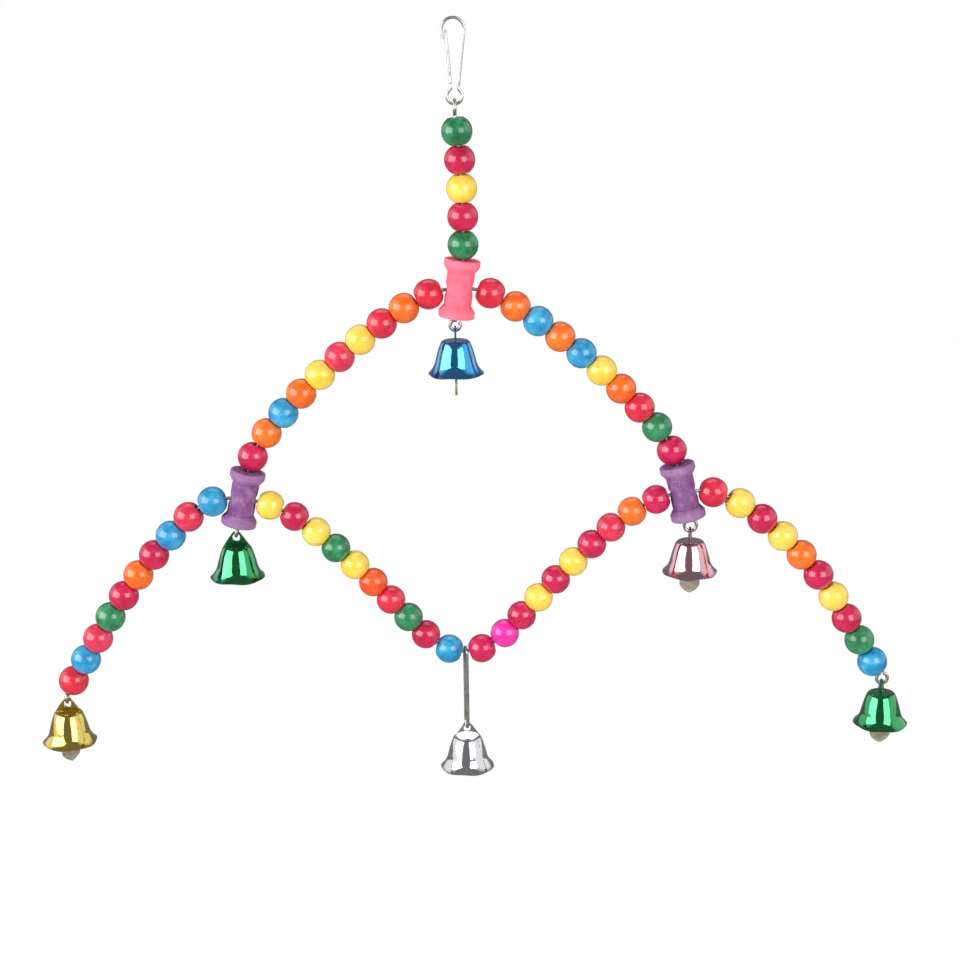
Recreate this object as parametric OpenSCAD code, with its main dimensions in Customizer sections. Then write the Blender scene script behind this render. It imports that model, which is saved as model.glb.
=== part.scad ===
/* [Snap hook] */
// Diameter of the snap hook's wire
hook_wire_d = 1; // [0.8:0.1:1.2]
// Width of the bow, between the middles of its wire
bow_w = 7.3; // [6.4:0.1:9]
// Drop from the inside of the bow's top to the middle of the wire under the lower eye
hook_drop = 27; // [24:0.5:32]
// Radius of the lower eye, to the middle of its wire
hook_eye_r = 2.5; // [2.2:0.1:3]
// How far the lower eye stands to the right of the bow
hook_eye_shift = 0.2; // [0:0.1:0.6]
// Distance between the two leg lines at the height of the lower eye's middle
neck_w = 1.85; // [1.7:0.05:2.4]
// Radius of the bends that lead from the legs into the lower eye
neck_bend_r = 1.5; // [1:0.1:2]
// Length of the straight latch that the bow ends in
latch_l = 4.3; // [3:0.1:6]
// Clear gap between the latch and the gate
gate_gap = 0.25; // [0.2:0.05:0.4]

/* [Wires] */
// Diameter of the three carrying wires
wire_d = 1.2; // [1:0.05:1.3]
// Clear gap between two wires that cross inside a spool
cross_gap = 0.4; // [0.3:0.05:0.6]
// Clear play between two linked wires
loop_play = 0.15; // [0.1:0.05:0.3]
// Radius of the eye at the top of the stem, to the middle of its wire
stem_eye_r = 2.35; // [2:0.05:2.8]
// Radius of the small rings that the bells hang from, to the middle of the wire
ring_r = 1.7; // [1.7:0.05:2.2]
// Radius of the ring under the right purple spool
right_ring_r = 2.1; // [1.7:0.05:2.4]
// Radius of the curl at the end of the right arm
curl_r = 1.9; // [1.7:0.05:2.2]

/* [Balls] */
// Diameter of the balls on the stem and on the arch
ball_d = 10.3; // [9:0.1:11]
// Diameter of the balls on the inner arms of the lower wire
inner_ball_d = 10; // [9:0.1:11]
// Diameter of the balls on the outer arms of the lower wire
outer_ball_d = 10.4; // [9:0.1:11]
// Diameter of the hole through every ball
ball_bore_d = 2.7; // [2.6:0.1:3.4]
// Length of a ball between its flat ends, as a share of its diameter
ball_length_share = 0.87; // [0.85:0.005:0.93]
// Number of balls on the stem
stem_balls = 5; // [3:1:6]
// Number of balls on each half of the arch
arch_balls = 10; // [8:1:10]
// Number of balls on each outer arm
outer_balls = 10; // [8:1:11]
// Clear gap between balls on the stem
stem_gap = 0.3; // [0.15:0.05:0.6]
// Clear gap between balls on the arch
arch_gap = 0.1; // [0.1:0.05:0.5]
// Least clear gap between balls on the inner arms
inner_gap = 0.1; // [0.1:0.05:0.3]
// Clear gap between balls on the left outer arm
left_gap = 0.1; // [0.1:0.05:0.6]
// Clear gap between balls on the right outer arm
right_gap = 0.35; // [0.1:0.05:0.6]
// Clear gap between a ball and a spool's end, or a ball and a ring
end_gap = 0.25; // [0.15:0.05:0.6]
// Clear gap between a ball and the waist of a spool
waist_gap = 0.2; // [0.15:0.05:0.6]

/* [Spools] */
// Length of a spool
spool_l = 19.6; // [17:0.2:22]
// Diameter of a spool's two flanges
flange_d = 12.2; // [11:0.1:13]
// Height of the straight rim of a flange
flange_rim_h = 2.2; // [1.5:0.1:2.6]
// Height of the cone between a flange and the waist
flare_h = 1.8; // [1.2:0.1:2.4]
// Diameter of a spool's waist
waist_d = 9.3; // [8.6:0.1:10]
// Width of the bevel round a spool's edges
spool_bevel = 0.35; // [0.2:0.05:0.6]
// Diameter of the hole along a spool
spool_bore_d = 3.3; // [3.2:0.1:3.8]
// Diameter of the hole across a spool's waist
cross_hole_d = 4.2; // [4:0.1:4.6]

/* [Stem] */
// Heading of the stem where it leaves its eye, in degrees from +X
stem_heading = -83.5; // [-90:0.5:-80]
// Bend of the stem along its balls, in degrees
stem_bend = 8; // [2:1:10]
// Bend of the stem between its last ball and the pink spool, in degrees
stem_kink = 6; // [0:0.5:9]
// Length of wire that takes the last bend
stem_kink_l = 5; // [4:0.5:8]

/* [Arch] */
// Bend of the arch beside the pink spool, in degrees
arch_top_bend = 31.5; // [26:0.5:36]
// Bend of the arch along its long sides, in degrees
arch_side_bend = 19; // [14:0.5:24]
// Bend of the arch above each purple spool, in degrees
arch_foot_bend = 26.5; // [22:0.5:32]

/* [Lower wire] */
// Slope of the lower wire where it passes through the purple spools, in degrees
lower_slope = 9.5; // [6:0.5:13]
// Bend of the left outer arm beside its spool, in degrees
left_top_bend = 53.5; // [45:0.5:60]
// Bend of the left outer arm along its middle, in degrees
left_side_bend = 14.5; // [8:0.5:20]
// Bend of the right outer arm beside its spool, in degrees
right_top_bend = 43.5; // [36:0.5:50]
// Bend of the right outer arm along its middle, in degrees
right_side_bend = 25.5; // [20:0.5:32]
// Bend of each inner arm beside its spool, in degrees
inner_top_bend = 31; // [28:0.5:34]
// Length of wire that takes this bend
inner_top_l = 25.5; // [22:0.5:29]
// Bend of each inner arm along its middle, in degrees
inner_side_bend = 7; // [4:0.5:9]
// Length of wire that takes this bend
inner_side_l = 31; // [27:0.5:35]
// Radius of the dip at the middle of the lower wire
dip_r = 18; // [15:0.5:20]
// Clear width between the two middle balls at their nearest, where the long link hangs
dip_gap = 1.6; // [1.6:0.1:3]

/* [Long link] */
// Length of the long link between the middles of its end bends
link_l = 29.7; // [24:0.5:34]
// Diameter of the link's wire
link_wire_d = 1.1; // [1:0.05:1.2]
// Radius of the link's end bends, to the middle of its wire
link_r = 2; // [1.8:0.1:2.2]
// Turn of the link away from square to the lower wire, in degrees
link_turn = 12; // [0:1:14]

/* [Bells] */
// Height of a bell's shell
bell_h = 11.5; // [10:0.5:13]
// Thickness of the shell
bell_wall = 0.5; // [0.4:0.05:0.6]
// Radius of the flat top of the shell
crown_r = 3.6; // [3.4:0.1:4]
// Bend of the shell over its shoulder, in degrees
shoulder_bend = 65; // [60:1:70]
// Bend of the shell where it flares to the mouth, in degrees
flare_bend = 36; // [30:1:42]
// Thickness of the sheet strap that carries a bell
strap_t = 0.6; // [0.5:0.05:0.7]
// Width of the strap where it stands on the bell
strap_w = 8.8; // [7.6:0.2:9]
// Height of the hanging wire's middle above the bell's top
hang_h = 3.35; // [3.2:0.05:4]
// Diameter of the strap's hanging hole
strap_hole_d = 2.6; // [2.4:0.1:2.8]
// Width of the sheet over the hanging hole
strap_rim = 0.8; // [0.6:0.05:0.9]
// Diameter of the hole in the strap's tongue, inside the bell
tongue_hole_d = 1.9; // [1.8:0.05:2.2]
// Width of the sheet round the tongue's hole
tongue_rim = 0.8; // [0.6:0.05:0.9]
// Depth of the tongue's hole below the underside of the bell's top
tongue_drop = 1.7; // [1.6:0.1:2.2]

/* [Clappers] */
// Diameter of the wire of a clapper's ring
clapper_wire_d = 0.7; // [0.6:0.05:0.8]
// Radius of a clapper's ring, to the middle of its wire
clapper_ring_r = 1.2; // [1.2:0.05:1.5]
// Thickness of the flat clapper
clapper_t = 0.8; // [0.6:0.1:1]
// Width of the clapper's leaf
leaf_w = 7.1; // [6:0.1:8]
// Height of the leaf's widest place above its tip
leaf_low_h = 3.7; // [3:0.1:4.5]
// Height over which the leaf narrows to its stalk
leaf_high_h = 5.2; // [4:0.1:6]
// Width of the stalk
stalk_w = 1.6; // [1.2:0.1:2]
// Length of a long clapper from its pivot to its tip
long_clapper_l = 16.3; // [14:0.1:17]
// Length of a short clapper from its pivot to its tip
short_clapper_l = 11.8; // [11.4:0.1:13]

/* [Hidden] */
// Shares of a carrying wire's length between its bends
arch_shares = [0.16, 0.69, 0.15];
outer_shares = [0.2, 0.5, 0.3];
// Shares of a bell's outline that its five bends take, from the crown's edge to the mouth
shoulder_share = 0.148;
upper_share = 0.226;
side_share = 0.365;
mouth_share = 0.435;
// Bends of the bell's outline between its shoulder and its flare, in degrees
upper_bend = 8;
side_bend = 3;
bell_steps = 18;
// Clear gap round the strap in the bell's slot, and between other pieces of one bell
slot_gap = 0.1;
// Length of the stub below the gate's pivot, as a share of its wire's diameter
stub_share = 0.7;
// Gap between the stub and the gate
pivot_gap = 0.15;
// How far the gate ends below the middle of the bow
gate_short = 0.75;
// Gap at the link's seam and the share of its leg above the seam
seam_gap = 0.15;
seam_share = 0.66;
// Width of a ring's opening, as a share of its wire's diameter
ring_opening_share = 1.15;
// Depth of the step where a spool's cone meets its waist
waist_step = 0.15;
// Overrun of every cut past the face that it opens
cut = 1;
// Rounds in which a ball, or the gap of a row, is brought to its place
fit_rounds = 5;
// Longest chord along a bent wire
chord = 1.5;
wire_fn = 24;
// Diameter of the round knuckles where a wire's bends meet, as a share of its diameter
knuckle_share = 1.05;
// Turn of a knuckle about its wire, in degrees
knuckle_turn = 45;
ball_fn = 40;
round_fn = 48;
leaf_steps = 10;

// Colours as they run along each wire
stem_colours = ["green", "crimson", "yellow", "crimson", "green"];
arch_left_colours = ["red", "orange", "red", "yellow", "red", "yellow", "orange", "blue",
    "orange", "crimson"];
arch_right_colours = ["red", "orange", "blue", "orange", "blue", "yellow", "orange", "red",
    "green", "crimson"];
outer_left_colours = ["blue", "red", "blue", "crimson", "orange", "crimson", "green", "red",
    "blue", "red"];
outer_right_colours = ["red", "yellow", "crimson", "yellow", "orange", "crimson", "yellow",
    "crimson", "green", "blue"];
// Inner arms are listed from the dip towards the spools
inner_left_colours = ["blue", "crimson", "green", "red", "orange", "yellow", "green", "yellow",
    "crimson", "yellow"];
inner_right_colours = ["crimson", "hot_pink", "crimson", "yellow", "crimson", "yellow",
    "crimson", "red", "orange", "crimson"];
group_colours = ["crimson", "red", "orange", "yellow", "green", "blue"];

// A place on a wire is [x, z, heading]; a step of wire is [length, turn to the left]
function step_r(step) = step[0] * 180 / PI / abs(step[1]);
function is_straight(step) = step[1] == 0;
function moved(p, step) = is_straight(step)
    ? [p.x + step[0] * cos(p[2]), p.y + step[0] * sin(p[2]), p[2]]
    : bent(p, sign(step[1]) * step_r(step), step[1]);
function bent(p, r, turn) = [p.x + r * (sin(p[2] + turn) - sin(p[2])),
    p.y - r * (cos(p[2] + turn) - cos(p[2])), p[2] + turn];
function part_of(step, s) = [s, step[1] * s / step[0]];
// Place at the distance s along a run of steps, straight on past its end
function at(p, run, s, i = 0) = i >= len(run) ? moved(p, [s, 0])
    : s <= run[i][0] ? moved(p, part_of(run[i], s))
    : at(moved(p, run[i]), run, s - run[i][0], i + 1);
function run_l(run, i = 0) = i >= len(run) ? 0 : run[i][0] + run_l(run, i + 1);
// The same run cut off at the distance s, or carried on straight to it
function cut_run(run, s, i = 0) = i >= len(run) ? (s > 0 ? [[s, 0]] : [])
    : s <= run[i][0] ? [part_of(run[i], s)]
    : concat([run[i]], cut_run(run, s - run[i][0], i + 1));

// Angle between two lines with these headings, from 0 to 90 degrees
function line_angle(a, b) = abs(90 - abs(90 - abs(a - b) % 180));
// Reach of a ball from its middle, at this angle from the hole through it
flat_angle = acos(ball_length_share);
function reach(d, angle) = d / 2 * cos(max(0, flat_angle - angle));
// Clear gap between the balls at two places, along the line through their middles
function ball_gap(a, b, d) = let (v = [b.x - a.x, b.y - a.y], way = atan2(v.y, v.x))
    norm(v) - reach(d, line_angle(a[2], way)) - reach(d, line_angle(b[2], way));
function next_ball(p, run, a, s, d, gap, i = 0) = i >= fit_rounds ? s
    : next_ball(p, run, a, s + gap - ball_gap(a, at(p, run, s), d), d, gap, i + 1);
// Distances of a row of balls along a run, each clear of the last one in the bends too
function ball_row(p, run, s, d, gap, n) = n <= 0 ? []
    : concat([s], ball_row(p, run, next_ball(p, run, at(p, run, s), s + d, d, gap), d, gap,
        n - 1));
function last(list) = list[len(list) - 1];
// Clear gap between a ball at q and the line through c with this heading
function line_gap(q, c, heading, d) =
    abs((q.x - c.x) * sin(heading) - (q.y - c.y) * cos(heading))
    - reach(d, line_angle(q[2], heading + 90));
// Distance along a run at which a ball stands this clear of a line; way is 1 where the run
// leads away from the line and -1 where it leads towards it
function beside(p, run, s, d, c, heading, gap, way, i = 0) = i >= fit_rounds ? s
    : beside(p, run, s + way * (gap - line_gap(at(p, run, s), c, heading, d)), d, c, heading,
        gap, way, i + 1);
// Distance of the first ball beside a spool at the start of a run
function first_ball(p, run, d, heading) =
    beside(p, run, (waist_d + d) / 2, d, p, heading, waist_d / 2 + waist_gap, 1);
// Distance along a run at which a spool starts past the ball at the distance s
function spool_s(p, run, s, d) = s + end_gap
    + reach(d, line_angle(at(p, run, s)[2], at(p, run, s + (d + spool_l) / 2)[2]));
// A place of the right half, or its mirror image on the left half
function sided(p, side) = [middle_x + side * p.x, p.y, side > 0 ? p[2] : 180 - p[2]];

// Snap hook: both legs run on lines that touch the bow and the neck
bow_r = bow_w / 2;
bow_c = [0, hook_wire_d / 2 - bow_r];
hook_eye_c = [hook_eye_shift, hook_eye_r - hook_drop];
hook_span = norm(bow_c - hook_eye_c);
hook_tilt = atan2(hook_eye_c.x - bow_c.x, bow_c.y - hook_eye_c.y);
neck_r = neck_w / 2;
stub_l = hook_wire_d * stub_share;
gate_pitch = hook_wire_d + gate_gap;
right_lean = asin((bow_r - neck_r) / hook_span) - hook_tilt;
left_lean = asin((bow_r - gate_pitch - neck_r) / hook_span) + hook_tilt;
right_line_l = sqrt(pow(hook_span, 2) - pow(bow_r - neck_r, 2));
left_line_l = sqrt(pow(hook_span, 2) - pow(bow_r - gate_pitch - neck_r, 2));
neck_bend = acos((neck_r + neck_bend_r) / (hook_eye_r + neck_bend_r));
neck_l = (hook_eye_r + neck_bend_r) * sin(neck_bend);
function arc(r, turn) = [r * abs(turn) * PI / 180, turn];
latch_start = [bow_c.x - bow_r * cos(left_lean) + latch_l * sin(left_lean),
    bow_c.y - bow_r * sin(left_lean) - latch_l * cos(left_lean), 90 + left_lean];
hook_run = [
    [latch_l, 0],
    arc(bow_r, -180 - left_lean - right_lean),
    [right_line_l - neck_l, 0],
    arc(neck_bend_r, neck_bend),
    arc(hook_eye_r, left_lean + right_lean - 180 - 2 * neck_bend),
    arc(neck_bend_r, neck_bend),
    [stub_l, 0]];
gate_start = at(latch_start, hook_run, run_l(hook_run) + pivot_gap + hook_wire_d / 2);
gate_l = left_line_l - neck_l - stub_l - pivot_gap - hook_wire_d / 2 - gate_short;

// Stem: the eye round the hook's eye, the balls, a small bend and the pink spool
ball_l = ball_d * ball_length_share;
linked_pitch = (hook_wire_d + wire_d) / 2 + loop_play;
stem_eye_c = [hook_eye_c.x, linked_pitch - hook_drop - stem_eye_r];
stem_start = [stem_eye_c.x, stem_eye_c.y - stem_eye_r, stem_heading];
stem_first = wire_d / 2 + end_gap + ball_l / 2;
stem_ball_run = stem_first + (stem_balls - 1) * (ball_l + stem_gap) + ball_l / 2;
stem_run = [[stem_ball_run - stem_kink_l / 2, -stem_bend], [stem_kink_l, -stem_kink]];
stem_row = ball_row(stem_start, stem_run, stem_first, ball_d, stem_gap, stem_balls);
pink_top_s = spool_s(stem_start, stem_run, last(stem_row), ball_d);
pink_c = at(stem_start, stem_run, pink_top_s + spool_l / 2);
// A ring starts below a spool with its wire just clear of the spool's face
ring_start = wire_d / 2 + end_gap;
stem_end_s = pink_top_s + spool_l + ring_start;
stem_end = at(stem_start, stem_run, stem_end_s);

// Arch: the halves mirror each other about the pink spool
middle_x = pink_c.x;
cross_pitch = wire_d + cross_gap;
arch_y = cross_pitch;
spool_y = cross_pitch / 2;
arch_start = [0, pink_c.y, 0];
arch_l = (waist_d + ball_l) / 2 + arch_balls * (ball_l + arch_gap);
arch_run = [
    [arch_l * arch_shares[0], -arch_top_bend],
    [arch_l * arch_shares[1], -arch_side_bend],
    [arch_l * arch_shares[2], -arch_foot_bend]];
// The pink spool leans, so both halves start where the nearer side needs it
arch_first = max(first_ball(arch_start, arch_run, ball_d, pink_c[2]),
    first_ball(arch_start, arch_run, ball_d, -pink_c[2]));
arch_row = ball_row(arch_start, arch_run, arch_first, ball_d, arch_gap, arch_balls);
purple_top_s = spool_s(arch_start, arch_run, last(arch_row), ball_d);
purple_c = at(arch_start, arch_run, purple_top_s + spool_l / 2);
arch_end_s = purple_top_s + spool_l + ring_start;
arch_end = at(arch_start, arch_run, arch_end_s);

// Outer arms of the lower wire, as they run on the right half
outer_l = outer_ball_d * ball_length_share;
outer_start = [purple_c.x, purple_c.y, lower_slope];
function outer_run_l(gap) = (waist_d + outer_l) / 2 + outer_balls * (outer_l + gap);
function outer_run(gap, top, side) = [
    [outer_run_l(gap) * outer_shares[0], -top],
    [outer_run_l(gap) * outer_shares[1], -side],
    [outer_run_l(gap) * outer_shares[2], 0]];
left_run = outer_run(left_gap, left_top_bend, left_side_bend);
right_run = outer_run(right_gap, right_top_bend, right_side_bend);
function outer_row(run, gap) = ball_row(outer_start, run,
    first_ball(outer_start, run, outer_ball_d, purple_c[2]), outer_ball_d, gap, outer_balls);
left_row = outer_row(left_run, left_gap);
right_row = outer_row(right_run, right_gap);
left_end_s = last(left_row) + outer_l / 2 + ring_start;
right_end_s = last(right_row) + outer_l / 2 + ring_start;
left_end = at(outer_start, left_run, left_end_s);
right_end = at(outer_start, right_run, right_end_s);

// Inner arms run down to a round dip whose ends touch both straight legs
inner_start = [purple_c.x, purple_c.y, 180 + lower_slope];
inner_bends = [[inner_top_l, inner_top_bend], [inner_side_l, inner_side_bend]];
leg_start = at(inner_start, inner_bends, run_l(inner_bends));
leg_slope = leg_start[2] - 180;
leg_l = leg_start.x / cos(leg_slope) - dip_r * tan(leg_slope);
inner_run = concat(inner_bends, [[leg_l, 0], arc(dip_r, -leg_slope)]);
inner_total = run_l(inner_run);
dip = at(inner_start, inner_run, inner_total);
inner_first = first_ball(inner_start, inner_run, inner_ball_d, purple_c[2]);
inner_last = beside(inner_start, inner_run, inner_total - inner_ball_d / 2, inner_ball_d, dip,
    90, dip_gap / 2, -1);
function inner_row_of(gap, n) = ball_row(inner_start, inner_run, inner_first, inner_ball_d,
    gap, n);
// As many balls as fit the arm, with what is left over shared between their gaps
function fitting(n) = last(inner_row_of(inner_gap, n + 1)) > inner_last ? n : fitting(n + 1);
inner_balls = fitting(1);
function spread(gap, i = 0) = i >= fit_rounds ? gap
    : spread(gap + (inner_last - last(inner_row_of(gap, inner_balls))) / (inner_balls - 1),
        i + 1);
inner_row = inner_row_of(spread(inner_gap), inner_balls);

// Every ball of the lower wire as [x, z, heading, diameter, colour]
function lower_ball(start, run, s, side, d, colour) =
    concat(sided(at(start, run, s), side), [d, colour]);
function colour_of(colours, i) = colours[i % len(colours)];
lower_ball_list = concat(
    [for (i = [0 : outer_balls - 1]) lower_ball(outer_start, left_run, left_row[i], -1,
        outer_ball_d, colour_of(outer_left_colours, i))],
    [for (i = [0 : outer_balls - 1]) lower_ball(outer_start, right_run, right_row[i], 1,
        outer_ball_d, colour_of(outer_right_colours, i))],
    [for (i = [0 : inner_balls - 1]) lower_ball(inner_start, inner_run,
        inner_row[inner_balls - 1 - i], -1, inner_ball_d, colour_of(inner_left_colours, i))],
    [for (i = [0 : inner_balls - 1]) lower_ball(inner_start, inner_run,
        inner_row[inner_balls - 1 - i], 1, inner_ball_d, colour_of(inner_right_colours, i))]);

// Long link, hung over the dip
link_top_z = dip.y + (wire_d + link_wire_d) / 2 + loop_play;
link_bottom_z = link_top_z - link_l;

// Places where the bells hang, at the middle of the lowest wire
function along(p, d) = [p.x + d * cos(p[2]), p.y + d * sin(p[2])];
stem_ring_c = along(stem_end, ring_r);
left_hang = along(sided(arch_end, -1), 2 * ring_r);
right_ring_c = along(sided(arch_end, 1), right_ring_r);
gold_ring_top = sided(left_end, -1);
curl_c = along(sided(right_end, 1), curl_r);
// Each bell: name, place, turn of its strap, turn of its leaf, clapper's length, colour
bells = [
    ["blue", [stem_ring_c.x, 0, stem_ring_c.y - ring_r], 90, 90, long_clapper_l, "#2b8fc6"],
    ["green_left", [left_hang.x, arch_y, left_hang.y], 0, 0, short_clapper_l, "#35a653"],
    ["pink", [right_ring_c.x, arch_y, right_ring_c.y - right_ring_r], 90, 0, long_clapper_l,
        "#d99bb0"],
    ["gold", [gold_ring_top.x, 0, gold_ring_top.y - 2 * ring_r], 0, 40, long_clapper_l,
        "#d9a93c"],
    ["green_right", [curl_c.x, 0, curl_c.y - curl_r], 90, 0, long_clapper_l, "#35a653"],
    ["silver", [middle_x, 0, link_bottom_z], link_turn, 0, short_clapper_l, "#c8ccd0"]];

// Strap and clapper heights, measured from the hanging wire's middle
strap_hole_z = wire_d / 2 + loop_play - strap_hole_d / 2;
strap_top_r = strap_hole_d / 2 + strap_rim;
tongue_r = tongue_hole_d / 2 + tongue_rim;
tongue_z = -hang_h - bell_wall - tongue_drop;
clapper_pivot_z = tongue_z - tongue_hole_d / 2 + clapper_wire_d / 2 + slot_gap;

function paint(name) = name == "crimson" ? "#c8194f" : name == "red" ? "#e0223f"
    : name == "orange" ? "#f57a1f" : name == "yellow" ? "#fbe04e"
    : name == "green" ? "#1f7a4a" : name == "blue" ? "#2a8fc8" : "#f02aa8";

// Turns a drawing on the XY plane up into the upright plane at the depth y
module upright(y) {
    translate([0, y, 0]) rotate([90, 0, 0]) children();
}

// Facets of a full turn at which a bend of this length has chords no longer than named
function bend_fn(turn, l) = max(round_fn, ceil(360 / turn) * ceil(l / chord));

module wire_step(p, step, d) {
    r = step_r(step);
    turn = abs(step[1]);
    translate([p.x, p.y, 0]) rotate([0, 0, p[2]])
        if (is_straight(step)) {
            rotate([0, 90, 0]) cylinder(d = d, h = step[0], $fn = wire_fn);
        } else {
            translate([0, sign(step[1]) * r, 0])
                rotate([0, 0, step[1] > 0 ? -90 : 90 - turn])
                    rotate_extrude(angle = turn, $fn = bend_fn(turn, step[0]))
                        translate([r, 0]) circle(d = d, $fn = wire_fn);
        }
}

module wire_run(p, run, d, i = 0) {
    if (i < len(run)) {
        wire_step(p, run[i], d);
        if (i > 0) wire_end(p, d);
        wire_run(moved(p, run[i]), run, d, i + 1);
    }
}

// Round knuckle with its poles along the wire's heading
module wire_end(p, d) {
    translate([p.x, p.y, 0]) rotate([0, 0, p[2]]) rotate([0, 90, 0]) rotate([0, 0, knuckle_turn])
        sphere(d = d * knuckle_share, $fn = wire_fn);
}

// Open ring with its start at the top, round the origin of the upright plane
module ring(r, d) {
    opening = d * ring_opening_share / r * 180 / PI;
    sweep = 360 - opening;
    rotate([90, 0, 0]) {
        rotate([0, 0, 90]) rotate_extrude(angle = sweep, $fn = round_fn)
            translate([r, 0]) circle(d = d, $fn = wire_fn);
        wire_end([0, r, 180], d);
    }
}

// Ring hung from a place p on a wire, tilted with the wire and turned about it
module hung_ring(p, y, r, turn) {
    translate([p.x, y, p.y]) rotate([0, -90 - p[2], 0]) rotate([0, 0, turn])
        translate([0, 0, -r]) ring(r, wire_d);
}

module snap_hook() {
    color("silver") upright(0) wire_run(latch_start, hook_run, hook_wire_d);
}

module snap_gate() {
    color("silver") upright(0) {
        wire_step(gate_start, [gate_l, 0], hook_wire_d);
        wire_end(gate_start, hook_wire_d);
        wire_end(moved(gate_start, [gate_l, 0]), hook_wire_d);
    }
}

module stem_wire() {
    color("silver") {
        translate([stem_eye_c.x, 0, stem_eye_c.y]) rotate([0, 180, 90]) ring(stem_eye_r, wire_d);
        upright(0) wire_run(stem_start, cut_run(stem_run, stem_end_s), wire_d);
        hung_ring(stem_end, 0, ring_r, 0);
    }
}

module arch_wire() {
    run = cut_run(arch_run, arch_end_s);
    color("silver") {
        for (side = [-1, 1]) {
            translate([middle_x, 0, 0]) mirror([side > 0 ? 0 : 1, 0, 0])
                upright(arch_y) wire_run(arch_start, run, wire_d);
        }
        translate([middle_x, 0, 0]) upright(arch_y) wire_end(arch_start, wire_d);
        hung_ring(sided(arch_end, -1), arch_y, ring_r, 90);
        hung_ring(sided(arch_end, 1), arch_y, right_ring_r, 0);
    }
}

module lower_wire() {
    color("silver") {
        for (side = [-1, 1]) {
            outer = side > 0 ? cut_run(right_run, right_end_s) : cut_run(left_run, left_end_s);
            translate([middle_x, 0, 0]) mirror([side > 0 ? 0 : 1, 0, 0]) upright(0) {
                wire_run(outer_start, outer, wire_d);
                wire_run(inner_start, inner_run, wire_d);
                wire_end(outer_start, wire_d);
            }
        }
        translate([middle_x, 0, 0]) upright(0) wire_end(dip, wire_d);
        translate([gold_ring_top.x, 0, gold_ring_top.y - ring_r]) rotate([0, 0, 90])
            ring(ring_r, wire_d);
        hung_ring(sided(right_end, 1), 0, curl_r, 0);
    }
}

module ball(d) {
    difference() {
        intersection() {
            sphere(d = d, $fn = ball_fn);
            cylinder(d = d + cut, h = d * ball_length_share, center = true, $fn = ball_fn);
        }
        cylinder(d = ball_bore_d, h = d + cut, center = true, $fn = ball_fn);
    }
}

// Puts a piece that is drawn along Z on a wire, along the wire's heading
module on_wire(p, y) {
    translate([p.x, y, p.y]) rotate([0, 90 - p[2], 0]) children();
}

module spool_blank() {
    half = spool_l / 2;
    rim = flange_d / 2;
    waist = waist_d / 2;
    foot = half - flange_rim_h - flare_h;
    side = [[0, half], [rim - spool_bevel, half], [rim, half - spool_bevel],
        [rim, half - flange_rim_h], [waist + waist_step, foot], [waist, foot]];
    mirrored = [for (i = [len(side) - 1 : -1 : 0]) [side[i].x, -side[i].y]];
    rotate_extrude($fn = round_fn) polygon(concat(side, mirrored));
}

// A spool on a wire at p, drilled along itself and across itself for the other wire
module spool(p, cross_heading) {
    difference() {
        on_wire(p, spool_y) difference() {
            spool_blank();
            cylinder(d = spool_bore_d, h = spool_l + cut, center = true, $fn = round_fn);
        }
        on_wire([p.x, p.y, cross_heading], spool_y)
            cylinder(d = cross_hole_d, h = flange_d, center = true, $fn = round_fn);
    }
}

module pink_spool() {
    color("#ff7a90") spool(pink_c, 0);
}

module purple_spool(side) {
    color("#9a5fa0") spool(sided(purple_c, side), side * lower_slope);
}

module purple_spool_left() {
    purple_spool(-1);
}

module purple_spool_right() {
    purple_spool(1);
}

module bell_link() {
    leg = link_l - 2 * link_r;
    color("silver") translate([middle_x, 0, link_top_z - link_r]) rotate([0, 0, 90 + link_turn])
        rotate([90, 0, 0]) {
            rotate_extrude(angle = 180, $fn = round_fn) link_wire();
            translate([0, -leg, 0]) rotate([0, 0, 180])
                rotate_extrude(angle = 180, $fn = round_fn) link_wire();
            translate([link_r, -leg, 0]) rotate([-90, 0, 0])
                cylinder(d = link_wire_d, h = leg, $fn = wire_fn);
            translate([-link_r, -leg * seam_share, 0]) rotate([-90, 0, 0])
                cylinder(d = link_wire_d, h = leg * seam_share, $fn = wire_fn);
            translate([-link_r, -leg, 0]) rotate([-90, 0, 0])
                cylinder(d = link_wire_d, h = leg * (1 - seam_share) - seam_gap, $fn = wire_fn);
        }
}

module link_wire() {
    translate([link_r, 0]) circle(d = link_wire_d, $fn = wire_fn);
}

// Outline of a bell from the edge of its flat top to its mouth
bell_run = [
    [bell_h * shoulder_share, -shoulder_bend],
    [bell_h * upper_share, -upper_bend],
    [bell_h * side_share, -side_bend],
    [bell_h * mouth_share, flare_bend]];
function bell_point(s) = at([crown_r, 0, 0], bell_run, s);
function inner_point(p) = [p.x + bell_wall * cos(p[2] - 90), p.y + bell_wall * sin(p[2] - 90)];

module bell_shell() {
    total = run_l(bell_run);
    outside = [for (i = [0 : bell_steps]) bell_point(total * i / bell_steps)];
    inside = [for (i = [bell_steps : -1 : 0]) inner_point(outside[i])];
    outline = concat([[0, 0]], [for (p = outside) [p.x, p.y]], inside, [[0, -bell_wall]]);
    translate([0, 0, -hang_h]) difference() {
        rotate_extrude($fn = round_fn) polygon(outline);
        cube([2 * (tongue_r + slot_gap), strap_t + 2 * slot_gap, 2 * bell_wall + cut],
            center = true);
    }
}

// Point where a line from the corner b touches the circle of radius r round c
function touching(c, r, b) = let (v = b - c)
    c + r * [cos(atan2(v.y, v.x) + acos(r / norm(v))), sin(atan2(v.y, v.x) + acos(r / norm(v)))];

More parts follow.
